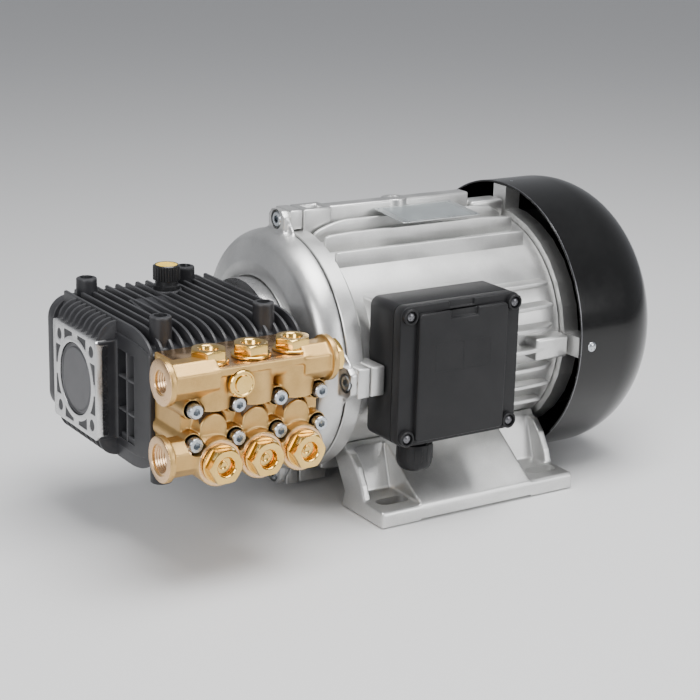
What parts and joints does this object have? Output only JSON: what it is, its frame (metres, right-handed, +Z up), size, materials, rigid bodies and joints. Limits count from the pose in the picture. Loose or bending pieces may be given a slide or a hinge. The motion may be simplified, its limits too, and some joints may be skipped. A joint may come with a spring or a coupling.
{
  "type": "pressure washer pump",
  "caption": "Motor-driven triplex plunger pump: finned crankcase and brass valve head on a foot-mounted electric motor with terminal box and fan cowl.",
  "frame": {"origin": "centre of the whole machine's bounding box at the height of the foot faces", "axes": "+X along the shaft from the pump's end towards the motor's fan, -Y towards the valve head and terminal box, +Z up"},
  "size_m": [0.4648, 0.264, 0.2225],
  "materials": {
    "cast_aluminium": "bright as-cast aluminium, lightly grained",
    "black_casting": "die-cast aluminium painted satin black",
    "brass": "forged brass, sand-blasted, machined faces",
    "brass_bright": "turned and milled brass",
    "steel": "machined steel",
    "zinc": "zinc-plated steel",
    "ceramic": "steel crosshead with a polished ceramic plunger",
    "black_rubber": "moulded seal rubber",
    "black_plastic": "moulded black plastic",
    "black_paint": "pressed sheet steel in gloss black paint",
    "yellow_plastic": "moulded yellow plastic",
    "clear_plastic": "clear sight glass",
    "electrical_steel": "laminated electrical steel",
    "copper": "enamelled copper winding",
    "grey_plate": "thin plate, blank"
  },
  "bodies": {
    "machine": {"motor_bell": "cast_aluminium", "motor_housing": "cast_aluminium", "rear_end_shield": "cast_aluminium", "front_foot": "cast_aluminium", "rear_foot": "cast_aluminium", "crankcase": "black_casting", "crankcase_rear_cover": "black_casting", "shaft_end_cap": "black_casting", "pump_head": "brass", "outlet_plug": "brass_bright", "gauge_plug": "brass_bright", "delivery_valve_cap_1": "brass_bright", "delivery_valve_cap_2": "brass_bright", "delivery_valve_cap_3": "brass_bright", "suction_valve_cap_1": "brass_bright", "suction_valve_cap_2": "brass_bright", "suction_valve_cap_3": "brass_bright", "motor_bearing_front": "steel", "motor_bearing_rear": "steel", "crank_bearing_end": "steel", "crank_bearing_main": "steel", "head_bolt_1": "zinc", "head_bolt_2": "zinc", "head_bolt_3": "zinc", "head_bolt_4": "zinc", "head_bolt_5": "zinc", "head_bolt_6": "zinc", "head_bolt_7": "zinc", "head_bolt_8": "zinc", "plunger_seal_1": "black_rubber", "plunger_seal_2": "black_rubber", "plunger_seal_3": "black_rubber", "terminal_box_base": "black_plastic", "terminal_box_lid": "black_plastic", "cable_gland_body": "black_plastic", "cable_gland_nut": "black_plastic", "fan_cowl": "black_paint", "terminal_board": "yellow_plastic", "oil_sight_glass": "clear_plastic", "stator_core": "electrical_steel", "stator_winding": "copper", "nameplate": "grey_plate"},
    "rotor": {"crankshaft": "steel", "rotor_core": "electrical_steel", "motor_shaft": "steel", "fan": "black_plastic"},
    "oil_filler_cap": {"oil_cap": "black_plastic", "oil_cap_disc": "yellow_plastic"},
    "rod_1": {"connecting_rod_1": "steel"},
    "plunger_1": {"plunger_1": "ceramic"},
    "suction_poppet_1": {"suction_valve_1": "steel"},
    "delivery_poppet_1": {"delivery_valve_1": "steel"},
    "rod_2": {"connecting_rod_2": "steel"},
    "plunger_2": {"plunger_2": "ceramic"},
    "suction_poppet_2": {"suction_valve_2": "steel"},
    "delivery_poppet_2": {"delivery_valve_2": "steel"},
    "rod_3": {"connecting_rod_3": "steel"},
    "plunger_3": {"plunger_3": "ceramic"},
    "suction_poppet_3": {"suction_valve_3": "steel"},
    "delivery_poppet_3": {"delivery_valve_3": "steel"}
  },
  "joints": [
    {"name": "rotor_spin", "type": "hinge", "parent": "machine", "child": "rotor", "pos_m": [-0.0629, 0.01835, 0.112], "axis": [1, 0, 0], "continuous": true},
    {"name": "rod_1_pivot", "type": "hinge", "parent": "rotor", "child": "rod_1", "pos_m": [-0.1927, 0.02335, 0.112], "axis": [1, 0, 0], "continuous": true},
    {"name": "plunger_1_stroke", "type": "slide", "parent": "machine", "child": "plunger_1", "axis": [0, -1, 0], "range_m": [0, 0.01]},
    {"name": "rod_2_pivot", "type": "hinge", "parent": "rotor", "child": "rod_2", "pos_m": [-0.1608, 0.01585, 0.11633], "axis": [1, 0, 0], "continuous": true},
    {"name": "plunger_2_stroke", "type": "slide", "parent": "machine", "child": "plunger_2", "axis": [0, -1, 0], "range_m": [-0.0075, 0.0025]},
    {"name": "rod_3_pivot", "type": "hinge", "parent": "rotor", "child": "rod_3", "pos_m": [-0.1289, 0.01585, 0.10767], "axis": [1, 0, 0], "continuous": true},
    {"name": "plunger_3_stroke", "type": "slide", "parent": "machine", "child": "plunger_3", "axis": [0, -1, 0], "range_m": [-0.0075, 0.0025]},
    {"name": "suction_valve_1_lift", "type": "slide", "parent": "machine", "child": "suction_poppet_1", "axis": [0, 1, 0], "range_m": [0, 0.0025], "stiffness_N_per_m": 300},
    {"name": "delivery_valve_1_lift", "type": "slide", "parent": "machine", "child": "delivery_poppet_1", "axis": [0, 0, 1], "range_m": [0, 0.0025], "stiffness_N_per_m": 300},
    {"name": "suction_valve_2_lift", "type": "slide", "parent": "machine", "child": "suction_poppet_2", "axis": [0, 1, 0], "range_m": [0, 0.0025], "stiffness_N_per_m": 300},
    {"name": "delivery_valve_2_lift", "type": "slide", "parent": "machine", "child": "delivery_poppet_2", "axis": [0, 0, 1], "range_m": [0, 0.0025], "stiffness_N_per_m": 300},
    {"name": "suction_valve_3_lift", "type": "slide", "parent": "machine", "child": "suction_poppet_3", "axis": [0, 1, 0], "range_m": [0, 0.0025], "stiffness_N_per_m": 300},
    {"name": "delivery_valve_3_lift", "type": "slide", "parent": "machine", "child": "delivery_poppet_3", "axis": [0, 0, 1], "range_m": [0, 0.0025], "stiffness_N_per_m": 300},
    {"name": "oil_cap_lift", "type": "slide", "parent": "machine", "child": "oil_filler_cap", "axis": [0, 0, 1], "range_m": [0, 0.03]}
  ],
  "couplings": [
    {"joint": "rod_1_pivot", "follows": "rotor_spin", "ratio": -1},
    {"joint": "rod_2_pivot", "follows": "rotor_spin", "ratio": -1},
    {"joint": "rod_3_pivot", "follows": "rotor_spin", "ratio": -1}
  ]
}
